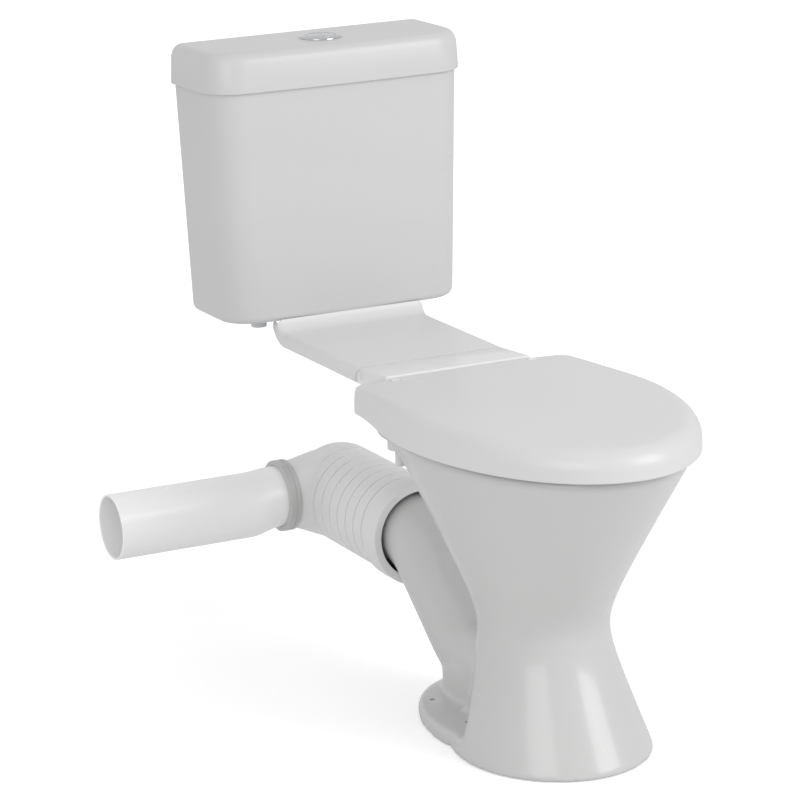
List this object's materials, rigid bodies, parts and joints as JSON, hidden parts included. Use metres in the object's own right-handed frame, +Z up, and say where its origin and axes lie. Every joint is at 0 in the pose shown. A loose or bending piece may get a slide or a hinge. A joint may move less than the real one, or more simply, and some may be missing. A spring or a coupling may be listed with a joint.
{
  "type": "toilet suite",
  "caption": "Pedestal toilet with an oval seat and lid, a box cistern behind joined by a flat cover, and a grooved waste connector with a pipe to the left.",
  "frame": {"origin": "on the floor, in the middle of the four floor-screw holes of the foot", "axes": "+X to the right seen from the front, +Y to the wall behind, +Z up; the front of the pan faces -Y"},
  "size_m": [0.5155, 0.926, 0.7902],
  "materials": {
    "glazed_ceramic": "glossy",
    "gloss_plastic": "glossy",
    "matte_plastic": "matte",
    "rubber": "matte",
    "chrome": "polished",
    "brushed_steel": "satin"
  },
  "bodies": {
    "suite": {"pan": "glazed_ceramic", "hinge_bar": "gloss_plastic", "hinge_pins": "brushed_steel", "hinge_bolts": "brushed_steel", "hinge_nuts": "matte_plastic", "cistern_tank": "gloss_plastic", "flush_valve_frame": "matte_plastic", "outlet_washer": "rubber", "outlet_nut": "matte_plastic", "fill_valve": "matte_plastic", "fill_washer": "rubber", "fill_nut": "matte_plastic", "flush_pipe": "gloss_plastic", "flush_cone_seal": "rubber", "link_cover": "gloss_plastic", "pan_connector": "gloss_plastic", "socket_seal": "rubber", "swivel_ring": "gloss_plastic", "neck_seal": "rubber"},
    "seat": {"seat_ring": "gloss_plastic", "seat_buffers": "rubber"},
    "seat_lid": {"seat_lid": "gloss_plastic", "lid_buffers": "rubber"},
    "cistern_lid": {"cistern_lid": "gloss_plastic", "button_bezel": "chrome", "bezel_nut": "matte_plastic"},
    "full_button": {"full_flush_button": "chrome"},
    "half_button": {"half_flush_button": "chrome"},
    "flush_valve": {"flush_valve_tube": "matte_plastic", "flush_valve_seal": "rubber"},
    "float": {"float_cup": "matte_plastic"},
    "waste_pipe": {"waste_pipe": "gloss_plastic"}
  },
  "joints": [
    {"name": "seat_hinge", "type": "hinge", "parent": "suite", "child": "seat", "pos_m": [0, 0.084, 0.414], "axis": [1, 0, 0], "range_deg": [-95, 0]},
    {"name": "seat_lid_hinge", "type": "hinge", "parent": "seat", "child": "seat_lid", "pos_m": [0, 0.084, 0.414], "axis": [-1, 0, 0], "range_deg": [0, 95]},
    {"name": "cistern_lid_lift", "type": "slide", "parent": "suite", "child": "cistern_lid", "axis": [0, 0, 1], "range_m": [0, 0.15]},
    {"name": "full_button_press", "type": "slide", "parent": "cistern_lid", "child": "full_button", "axis": [0, 0, -1], "range_m": [0, 0.008], "stiffness_N_per_m": 400},
    {"name": "half_button_press", "type": "slide", "parent": "cistern_lid", "child": "half_button", "axis": [0, 0, -1], "range_m": [0, 0.008], "stiffness_N_per_m": 400},
    {"name": "flush_valve_lift", "type": "slide", "parent": "suite", "child": "flush_valve", "axis": [0, 0, 1], "range_m": [0, 0.024]},
    {"name": "float_rise", "type": "slide", "parent": "suite", "child": "float", "axis": [0, 0, 1], "range_m": [0, 0.148]},
    {"name": "waste_pipe_swivel", "type": "hinge", "parent": "suite", "child": "waste_pipe", "pos_m": [-0.091, 0.462, 0.184], "axis": [-1, 0, 0], "continuous": true}
  ],
  "couplings": [
    {"joint": "flush_valve_lift", "follows": "full_button_press", "ratio": 3}
  ]
}
